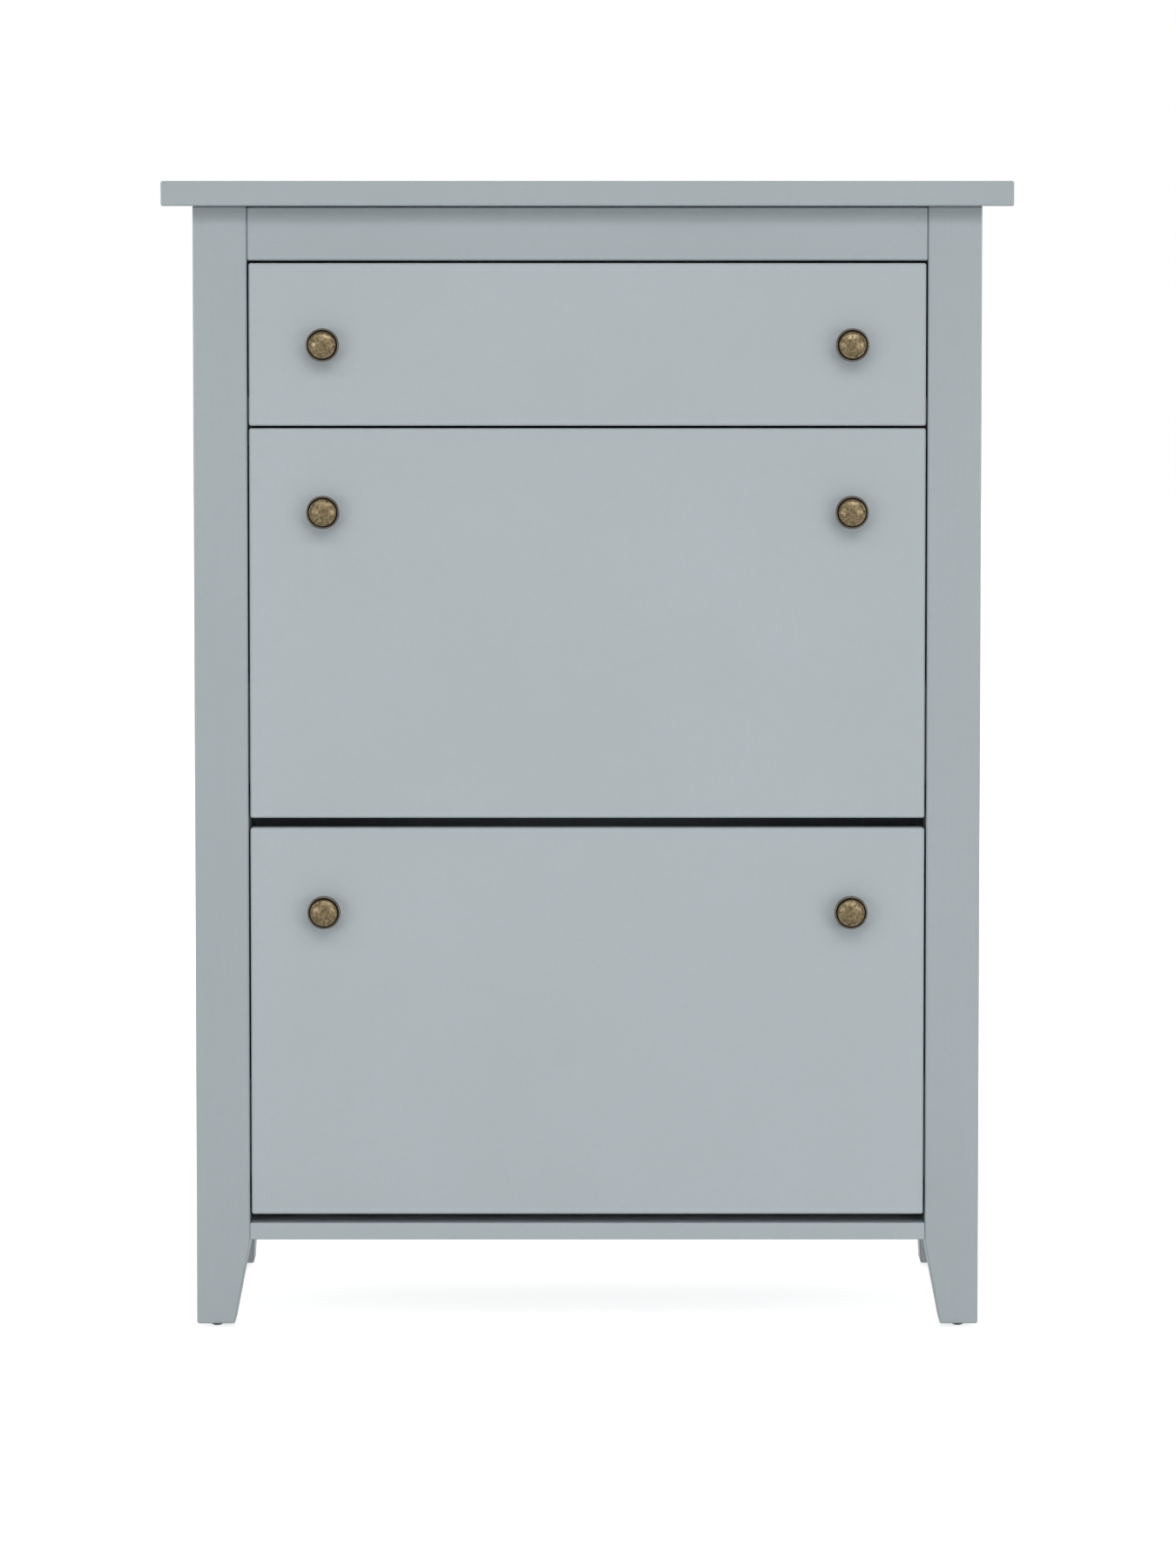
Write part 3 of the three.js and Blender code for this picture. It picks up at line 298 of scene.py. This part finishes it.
def pine(name):
    """Planed softwood with growth rings along Y and darker late wood."""
    g = Graph(name)
    rings = g.add("ShaderNodeTexWave", wave_type="BANDS", bands_direction="Z", wave_profile="SAW")
    rings.inputs["Scale"].default_value = 55
    rings.inputs["Distortion"].default_value = 7
    rings.inputs["Detail"].default_value = 3
    rings.inputs["Detail Scale"].default_value = 1.2
    g.link(g.stretched((1, 0.06, 1), (0.4, 0.1, 0.2)), rings.inputs["Vector"])
    base = g.ramp(rings.outputs["Fac"], [
        (0.0, srgb(222, 190, 140)),
        (0.7, srgb(208, 170, 116)),
        (1.0, srgb(170, 122, 72)),
    ])
    fibres = g.noise(1.0, 4, 0.7, g.stretched((700, 12, 700)))
    base = g.mix(g.ramp(fibres, [(0.4, 0.4), (0.6, 0.0)]), base, srgb(176, 132, 84))
    normal = g.bump(fibres, 0.1 * MM, 0.6)
    rough = g.ramp(fibres, [(0.3, 0.62), (0.7, 0.78)])
    return g.finish(base, rough, normal)


def antique_brass(name, radius):
    """Browned brass with dark specks and stains, darker in the groove and on the rim.
    The knob's own Y axis runs from its foot to its crown, and share is how far out a point is."""
    g = Graph(name)
    axes = g.axes()
    share = g.math("DIVIDE", g.from_centre(axes["X"], axes["Z"]), radius)
    blotches = g.noise(380, 4, 0.6)
    base = g.ramp(blotches, [
        (0.34, srgb(74, 60, 38)),
        (0.5, srgb(100, 87, 61)),
        (0.66, srgb(126, 113, 87)),
    ])
    specks = g.ramp(g.noise(1300, 2, 0.6), [(0.34, 0.9), (0.43, 0.0)])
    base = g.mix(specks, base, srgb(64, 50, 33))
    patches = g.noise(330, 1, 0.4, g.stretched((1, 1, 1), (0.31, 0.17, 0.53)))
    stains = g.ramp(patches, [(0.29, 0.85), (0.34, 0.0)])
    base = g.mix(stains, base, srgb(52, 42, 30))
    rim = g.ramp(share, [(0.865, 0.0), (0.89, 1.0)])
    base = g.mix(rim, base, srgb(86, 78, 68))
    groove = g.ramp(share, [(0.823, 0.0), (0.838, 1.0), (0.858, 1.0), (0.876, 0.0)])
    base = g.mix(groove, base, srgb(46, 38, 28))
    pits = g.noise(1500, 3, 0.6)
    normal = g.bump(pits, 0.03 * MM, 0.5)
    normal = g.bump(g.noise(260, 2, 0.5), 0.1 * MM, 0.3, under=normal)
    rough = g.ramp(blotches, [(0.3, 0.34), (0.7, 0.26)])
    return g.finish(base, rough, normal, Metallic=1.0, Coat_Weight=0.4, Coat_Roughness=0.2)


def zinc(name, colour, rough_low, rough_high):
    """Zinc-plated steel with a soft spangle and fine scratches along Z."""
    g = Graph(name)
    spangle = g.noise(160, 4, 0.7)
    base = g.ramp(spangle, [(0.3, toned(colour, 0.82)), (0.7, colour)])
    scratches = g.noise(1.0, 3, 0.7, g.stretched((2600, 2600, 70)))
    normal = g.bump(scratches, 0.03 * MM, 0.5)
    rough = g.ramp(spangle, [(0.3, rough_high), (0.7, rough_low)])
    return g.finish(base, rough, normal, Metallic=1.0)


def enamel(name, colour):
    """Powder coat: smooth, with a slight orange peel."""
    g = Graph(name)
    cloud = g.noise(40, 2, 0.5)
    base = g.ramp(cloud, [(0.3, toned(colour, 0.96)), (0.7, colour)])
    normal = g.bump(g.noise(620, 2, 0.5), 0.08 * MM, 0.5)
    rough = g.ramp(cloud, [(0.3, 0.3), (0.7, 0.4)])
    return g.finish(base, rough, normal)


def plastic(name, colour, texture=1600, rough=(0.5, 0.62)):
    """Moulded plastic with a spark-eroded texture."""
    g = Graph(name)
    cloud = g.noise(25, 3, 0.6)
    base = g.ramp(cloud, [(0.3, toned(colour, 0.9)), (0.7, toned(colour, 1.08))])
    normal = g.bump(g.noise(texture, 3, 0.6), 0.06 * MM, 0.6)
    roughness = g.ramp(cloud, [(0.3, rough[0]), (0.7, rough[1])])
    return g.finish(base, roughness, normal)


FRONT_COLOUR = srgb(175, 184, 188)
FRAME_COLOUR = srgb(165, 174, 178)
UPRIGHT_GRAIN = (420, 420, 9)
LEVEL_GRAIN = (9, 420, 420)
LEG_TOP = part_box("front_left_leg")[1].z
KNOB_RADIUS = (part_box("upper_left_knob")[1].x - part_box("upper_left_knob")[0].x) / 2

FINISHES = {
    "front": paint("front_paint", FRONT_COLOUR),
    "panel": paint("panel_paint", toned(FRONT_COLOUR, 0.96), seed=2.0),
    # The legs' paint carries a dark band at their tops: partly a paint gap, and partly painted
    # shade under the top.
    "upright": paint("upright_paint", FRAME_COLOUR, grain=UPRIGHT_GRAIN, seed=5.0, joint=LEG_TOP),
    "level": paint("level_paint", FRAME_COLOUR, grain=LEVEL_GRAIN, seed=8.0),
    "board": foil_board("inner_foil", toned(FRONT_COLOUR, 0.8)),
    "back": foil_board("back_foil", toned(FRONT_COLOUR, 0.85)),
    "pine": pine("batten_pine"),
    "brass": antique_brass("antique_brass", KNOB_RADIUS),
    "bracket": zinc("bracket_zinc", (0.085, 0.085, 0.09), 0.38, 0.5),
    "screw": zinc("screw_zinc", (0.62, 0.62, 0.6), 0.22, 0.36),
    "runner": enamel("runner_enamel", srgb(226, 227, 226)),
    "nylon": plastic("roller_nylon", srgb(226, 224, 214), 900, (0.35, 0.45)),
    "plastic": plastic("bin_plastic", srgb(84, 88, 91)),
    "glide": plastic("glide_plastic", srgb(44, 40, 37)),
    "pad": plastic("pad_rubber", srgb(190, 192, 190), 700, (0.3, 0.4)),
}

# The finish of each CAD node that stays in view, by the end of its name. The first match counts,
# and a node with none is an inner board.
NODE_FINISHES = [
    ("_leg", "upright"),
    ("top_panel", "level"),
    ("top_rail", "level"),
    ("middle_rail", "level"),
    ("bottom_panel", "panel"),
    ("_side_panel", "panel"),
    ("_front", "front"),
    ("_batten", "pine"),
    ("_channel", "runner"),
    ("_runner", "runner"),
    ("_roller", "nylon"),
    ("_bracket", "bracket"),
    ("_bin_plate", "plastic"),
    ("_glide", "glide"),
    ("back_panel", "back"),
]

# The width of an eased edge, its most as a share of a thin node's thickness, and the angle in
# degrees from which an edge is eased.
EASED_WIDTH = 0.5 * MM
EASED_SHARE = 0.12
EASED_ANGLE = 28


def node_finish(name):
    for ending, finish in NODE_FINISHES:
        if name.endswith(ending):
            return FINISHES[finish]
    return FINISHES["board"]


def dress_nodes():
    """Gives each CAD node its finish, and softens its edges as sanding and paint do."""
    for name, obj in frame["nodes"].items():
        obj.data.materials.clear()
        obj.data.materials.append(node_finish(name))
        low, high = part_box(name)
        bevel = obj.modifiers.new("eased_edges", "BEVEL")
        bevel.width = min(EASED_WIDTH, min(high - low) * EASED_SHARE)
        bevel.segments = 2
        bevel.limit_method = "ANGLE"
        bevel.angle_limit = math.radians(EASED_ANGLE)
        bevel.harden_normals = True


# ---------------------------------------------------------------- mesh helpers


def place_piece(name, builder, finish, body, matrix=None):
    """Makes a smooth object from a bmesh, and lets it ride on a CAD body."""
    mesh = bpy.data.meshes.new(name)
    builder.to_mesh(mesh)
    builder.free()
    for polygon in mesh.polygons:
        polygon.use_smooth = True
    mesh.materials.append(finish)
    obj = bpy.data.objects.new(name, mesh)
    bpy.context.scene.collection.objects.link(obj)
    if matrix is not None:
        obj.matrix_world = matrix
    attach(obj, body)
    return obj


def revolve(profile, steps):
    """Revolves (radius, height) pairs, in metres, about the Y axis. Both ends lie on the axis."""
    builder = bmesh.new()
    rings = []
    for radius, height in profile:
        if radius == 0:
            rings.append([builder.verts.new((0, height, 0))])
            continue
        ring = []
        for i in range(steps):
            angle = 2 * math.pi * i / steps
            place = (radius * math.sin(angle), height, radius * math.cos(angle))
            ring.append(builder.verts.new(place))
        rings.append(ring)
    for lower, upper in zip(rings, rings[1:]):
        for i in range(steps):
            j = (i + 1) % steps
            corners = [
                lower[i % len(lower)], lower[j % len(lower)],
                upper[j % len(upper)], upper[i % len(upper)],
            ]
            builder.faces.new(list(dict.fromkeys(corners)))
    bmesh.ops.recalc_face_normals(builder, faces=builder.faces)
    return builder


def arc(centre, radius, start, end, steps):
    """Points of an arc in the profile plane, angles in degrees from the radius axis."""
    points = []
    for i in range(steps + 1):
        angle = math.radians(start + (end - start) * i / steps)
        points.append((centre[0] + radius * math.cos(angle), centre[1] + radius * math.sin(angle)))
    return points


def middle(node):
    low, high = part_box(node)
    return (low + high) / 2


# ---------------------------------------------------------------- knobs

KNOB_STEPS = 72
CROWN_STEPS = 12


def knob_profile(radius, height):
    """Foot, waist, rounded rim, groove and domed crown, from the axis at the foot to the crown."""
    foot = radius * 0.59
    foot_round = 0.5 * MM
    foot_side = 1.1 * MM
    foot_top = 1.6 * MM
    waist = radius * 0.36
    waist_height = height * 0.3
    waist_curve = 5.6 * MM
    hollow = (foot - waist) * 0.72
    neck = radius * 0.72
    neck_height = height * 0.51
    rim = 0.7 * MM
    rim_round = rim * 2.2
    rim_low = height * 0.595
    rim_high = height * 0.78
    groove = radius * 0.853
    crown_edge = radius * 0.83
    crown_low = height * 0.835
    crown_rise = height - crown_low
    crown_fullness = 0.92

    points = [(0, 0), (foot, 0)]
    points += arc((foot - foot_round, foot_side), foot_round, 0, 90, 4)
    # The hollow starts where the foot's edge ends, so its first point is left out.
    points += arc((foot - foot_round, foot_top + hollow), hollow, -90, -170, 8)[1:]
    points += arc((waist + waist_curve, waist_height), waist_curve, 180, 118, 8)
    points += [(neck, neck_height)]
    points += arc((radius - rim, rim_low + rim), rim, -60, 0, 5)
    points += arc((radius - rim_round, rim_high - rim * 1.6), rim_round, 0, 78, 10)
    points += [
        (groove + 0.1 * MM, rim_high - 0.5 * MM),
        (groove, rim_high - 1.2 * MM),
        (groove - 0.25 * MM, rim_high - 1.3 * MM),
        (crown_edge, rim_high - 1.0 * MM),
    ]
    for i in range(CROWN_STEPS):
        angle = math.radians(90 * i / CROWN_STEPS)
        across = crown_edge * math.cos(angle) ** crown_fullness
        points.append((across, crown_low + crown_rise * math.sin(angle)))
    points.append((0, height))
    return points


def make_knobs():
    turn = Matrix.Rotation(math.pi, 4, "X")
    for node in [name for name in frame["nodes"] if name.endswith("_knob")]:
        low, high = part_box(node)
        body = body_of(frame["nodes"][node])[0]
        spot = Vector(((low.x + high.x) / 2, high.y, (low.z + high.z) / 2))
        spin = Matrix.Rotation(random.uniform(0, 2 * math.pi), 4, "Y")
        builder = revolve(knob_profile((high.z - low.z) / 2, high.y - low.y), KNOB_STEPS)
        matrix = Matrix.Translation(spot) @ turn @ spin
        piece = place_piece(f"{node}_turned", builder, FINISHES["brass"], body, matrix)
        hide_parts(node)


# ---------------------------------------------------------------- screws

# The radius and height of each kind of head.
PAN_HEAD = (3.6 * MM, 2.0 * MM)
BOLT_HEAD = (4.6 * MM, 2.6 * MM)
FLAT_HEAD = (3.2 * MM, 0.5 * MM)
PIN_HEAD = (2.6 * MM, 0.7 * MM)

HEAD_RINGS = 9
HEAD_STEPS = 40
HEAD_FULLNESS = 2.6
# The cross recess: half an arm's width and its reach as shares of the head's radius, and its
# depth as a share of the head's height.
CROSS_ARM = 0.17
CROSS_REACH = 0.62
CROSS_DEPTH = 0.6
WELD_DISTANCE = 1e-6

# A bin plate's flange: its thickness, and the line of its screws, in from its outer face.
FLANGE_THICKNESS = 3 * MM
FLANGE_MIDDLE = 13 * MM
# The pivot's height above the bracket's lower edge, and each screw's height above the pivot.
PIVOT_RISE = 13 * MM
BIN_SCREW_RISES = (45 * MM, 112 * MM, 179 * MM, 246 * MM)

# The runners' sheet thickness, the screws' height in the channel, and their shares of the length.
RUNNER_SHEET = 1.2 * MM
CHANNEL_SCREW_RISE = 11.2 * MM
CHANNEL_SCREW_SHARES = (0.16, 0.5, 0.86)
MEMBER_SCREW_SHARES = (0.12, 0.5, 0.8)

PIN_INSET = 7 * MM
PIN_ROWS = 9
PIN_COLUMNS = 6


def screw_head(radius, height):
    """A pan head with a cross recess, standing on Y = 0 and facing +Y."""
    builder = bmesh.new()
    arm = radius * CROSS_ARM
    reach = radius * CROSS_REACH
    previous = None
    for k in range(HEAD_RINGS + 1):
        share = k / HEAD_RINGS
        ring = []
        for i in range(HEAD_STEPS):
            angle = 2 * math.pi * i / HEAD_STEPS
            x, z = radius * share * math.cos(angle), radius * share * math.sin(angle)
            top = height * math.sqrt(max(0.0, 1 - share ** HEAD_FULLNESS))
            in_cross = (abs(x) < arm or abs(z) < arm) and radius * share < reach
            depth = height * CROSS_DEPTH * (1 - radius * share / reach) if in_cross else 0
            ring.append(builder.verts.new((x, top - depth, z)))
        if previous:
            for i in range(HEAD_STEPS):
                j = (i + 1) % HEAD_STEPS
                builder.faces.new([previous[i], previous[j], ring[j], ring[i]])
        previous = ring
    builder.faces.new(list(reversed(previous)))
    bmesh.ops.remove_doubles(builder, verts=builder.verts, dist=WELD_DISTANCE)
    bmesh.ops.recalc_face_normals(builder, faces=builder.faces)
    return builder


def add_screws(name, body, spots, facing, head_size):
    """One piece with a screw head at each spot. facing is the way the heads point."""
    turn = Vector((0, 1, 0)).rotation_difference(Vector(facing)).to_matrix().to_4x4()
    whole = bmesh.new()
    for spot in spots:
        head = screw_head(*head_size)
        spin = Matrix.Rotation(random.uniform(0, math.pi), 4, "Y")
        head.transform(Matrix.Translation(spot) @ turn @ spin)
        mesh = bpy.data.meshes.new("head")
        head.to_mesh(mesh)
        head.free()
        whole.from_mesh(mesh)
        bpy.data.meshes.remove(mesh)
    piece = place_piece(name, whole, FINISHES["screw"], body)


def bin_screws():
    """Four screws hold each bin plate's flange to the back of the flap front."""
    for flap in ("upper", "lower"):
        front_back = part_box(f"{flap}_flap_front")[1].y
        pivot_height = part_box(f"{flap}_left_pivot_bracket")[0].z + PIVOT_RISE
        spots = []
        for hand, side in (("left", 1), ("right", -1)):
            low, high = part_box(f"{flap}_{hand}_bin_plate")
            across = (low.x if side > 0 else high.x) + side * FLANGE_MIDDLE
            for rise in BIN_SCREW_RISES:
                spots.append((across, front_back + FLANGE_THICKNESS, pivot_height + rise))
        add_screws(f"{flap}_bin_screws", f"{flap}_flap", spots, (0, 1, 0), PAN_HEAD)


def knob_bolts():
    """The bolt that holds each knob shows as a head behind the front."""
    for owner, body in (("drawer", "drawer"), ("upper", "upper_flap"), ("lower", "lower_flap")):
        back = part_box(f"{body}_front")[1].y
        spots = []
        for hand in ("left", "right"):
            centre = middle(f"{owner}_{hand}_knob")
            spots.append((centre.x, back, centre.z))
        add_screws(f"{owner}_knob_bolts", body, spots, (0, 1, 0), BOLT_HEAD)


def runner_screws():
    """Flat screws hold the channels to the battens and the drawer members to the drawer sides."""
    for hand, side in (("left", 1), ("right", -1)):
        low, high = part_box(f"{hand}_runner_channel")
        face = (low.x if side > 0 else high.x) + side * RUNNER_SHEET
        height = low.z + CHANNEL_SCREW_RISE
        length = high.y - low.y
        spots = [(face, low.y + length * share, height) for share in CHANNEL_SCREW_SHARES]
        add_screws(f"{hand}_channel_screws", "carcass", spots, (side, 0, 0), FLAT_HEAD)
        low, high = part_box(f"drawer_{hand}_side")
        face = (low.x if side > 0 else high.x) - side * RUNNER_SHEET
        height = middle(f"drawer_{hand}_runner").z
        length = high.y - low.y
        spots = [(face, low.y + length * share, height) for share in MEMBER_SCREW_SHARES]
        add_screws(f"drawer_{hand}_runner_screws", "drawer", spots, (-side, 0, 0), FLAT_HEAD)


def back_pins():
    """Small pins all round the back panel, between the inner faces of the rear legs."""
    low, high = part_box("back_panel")
    low.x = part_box("rear_left_leg")[1].x
    high.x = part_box("rear_right_leg")[0].x
    face = high.y
    spots = []
    for i in range(PIN_ROWS):
        height = low.z + PIN_INSET + (high.z - low.z - 2 * PIN_INSET) * i / (PIN_ROWS - 1)
        spots += [(low.x + PIN_INSET, face, height), (high.x - PIN_INSET, face, height)]
    for i in range(1, PIN_COLUMNS - 1):
        across = low.x + PIN_INSET + (high.x - low.x - 2 * PIN_INSET) * i / (PIN_COLUMNS - 1)
        spots += [(across, face, low.z + PIN_INSET), (across, face, high.z - PIN_INSET)]
    add_screws("back_panel_pins", "carcass", spots, (0, 1, 0), PIN_HEAD)


# ---------------------------------------------------------------- pads

PAD_STEPS = 32
PAD_RADIUS = 4 * MM
PAD_ROUND = 0.8 * MM
PAD_INSET = 34 * MM
PAD_CLEARANCE = 0.2 * MM


def add_pads():
    """Clear pads that the flaps close against, on the shelf's edge and on the middle rail."""
    turn = Matrix.Rotation(math.pi, 4, "X")
    for flap, carrier in (("upper", "drawer_shelf"), ("lower", "middle_rail")):
        low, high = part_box(carrier)
        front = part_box(f"{flap}_flap_front")[1]
        reach = low.y - front.y - PAD_CLEARANCE
        across = front.x - PAD_INSET
        for hand, x in (("left", -across), ("right", across)):
            profile = [(0, 0), (PAD_RADIUS, 0)]
            profile += arc((PAD_RADIUS - PAD_ROUND, reach - PAD_ROUND), PAD_ROUND, 0, 90, 5)
            profile += [(0, reach)]
            matrix = Matrix.Translation((x, low.y, (low.z + high.z) / 2)) @ turn
            builder = revolve(profile, PAD_STEPS)
            place_piece(f"{flap}_{hand}_pad", builder, FINISHES["pad"], "carcass", matrix)


# ---------------------------------------------------------------- floor and world

# Half the side of the floor. Its own glow, as the camera sees it, is lower near the cabinet,
# which leaves room for the lamps' light and the shadow, and rises to white further out.
FLOOR_SIZE = 14
GLOW_REACH = (0.8, 4.0)
GLOW = (0.76, 1.0)
# The world's strength as a light, and as the camera, metal and glass see it.
WORLD_LIGHT = 0.29
WORLD_SEEN = 1.0


def seen_directly(tree):
    """1 for rays that see a surface from the camera, or in metal or glass, and 0 for light."""
    rays = tree.nodes.new("ShaderNodeLightPath")
    seen = rays.outputs["Is Camera Ray"]
    for kind in ("Is Glossy Ray", "Is Transmission Ray"):
        either = tree.nodes.new("ShaderNodeMath")
        either.operation = "MAXIMUM"
        tree.links.new(seen, either.inputs[0])
        tree.links.new(rays.outputs[kind], either.inputs[1])
        seen = either.outputs[0]
    return seen


def make_floor():
    builder = bmesh.new()
    bmesh.ops.create_grid(builder, x_segments=2, y_segments=2, size=FLOOR_SIZE)
    mesh = bpy.data.meshes.new("floor")
    builder.to_mesh(mesh)
    builder.free()
    g = Graph("floor_white")
    tone = g.ramp(g.noise(3, 2, 0.5), [(0.3, 0.6), (0.7, 0.63)])
    rough = g.ramp(g.noise(8, 2, 0.5), [(0.3, 0.8), (0.7, 0.9)])
    g.finish(tone, rough, Specular_IOR_Level=0.0)
    axes = g.axes()
    distance = g.from_centre(axes["X"], axes["Y"])
    strength = g.map_range(distance, GLOW_REACH, GLOW, interpolation_type="SMOOTHSTEP")
    glow = g.add("ShaderNodeEmission")
    g.link(strength, glow.inputs["Strength"])
    nothing = g.add("ShaderNodeEmission")
    nothing.inputs["Strength"].default_value = 0.0
    chosen = g.add("ShaderNodeMixShader")
    g.link(seen_directly(g.tree), chosen.inputs[0])
    g.link(nothing.outputs[0], chosen.inputs[1])
    g.link(glow.outputs[0], chosen.inputs[2])
    total = g.add("ShaderNodeAddShader")
    g.link(g.shader.outputs[0], total.inputs[0])
    g.link(chosen.outputs[0], total.inputs[1])
    g.link(total.outputs[0], g.output.inputs["Surface"])
    mesh.materials.append(g.material)
    floor = bpy.data.objects.new("floor", mesh)
    bpy.context.scene.collection.objects.link(floor)


def make_world():
    world = bpy.data.worlds.new("studio")
    bpy.context.scene.world = world
    world.use_nodes = True
    tree = world.node_tree
    background = tree.nodes["Background"]
    background.inputs["Color"].default_value = (1, 1, 1, 1)
    strength = tree.nodes.new("ShaderNodeMapRange")
    strength.inputs["To Min"].default_value = WORLD_LIGHT
    strength.inputs["To Max"].default_value = WORLD_SEEN
    tree.links.new(seen_directly(tree), strength.inputs["Value"])
    tree.links.new(strength.outputs["Result"], background.inputs["Strength"])


# ---------------------------------------------------------------- assembly

RANDOM_SEED = 7

random.seed(RANDOM_SEED)
make_camera()
make_floor()
make_world()
make_lamps()
dress_nodes()
make_knobs()
bin_screws()
knob_bolts()
runner_screws()
back_pins()
add_pads()

bpy.context.scene.view_settings.view_transform = "Standard"

bpy.context.view_layer.update()
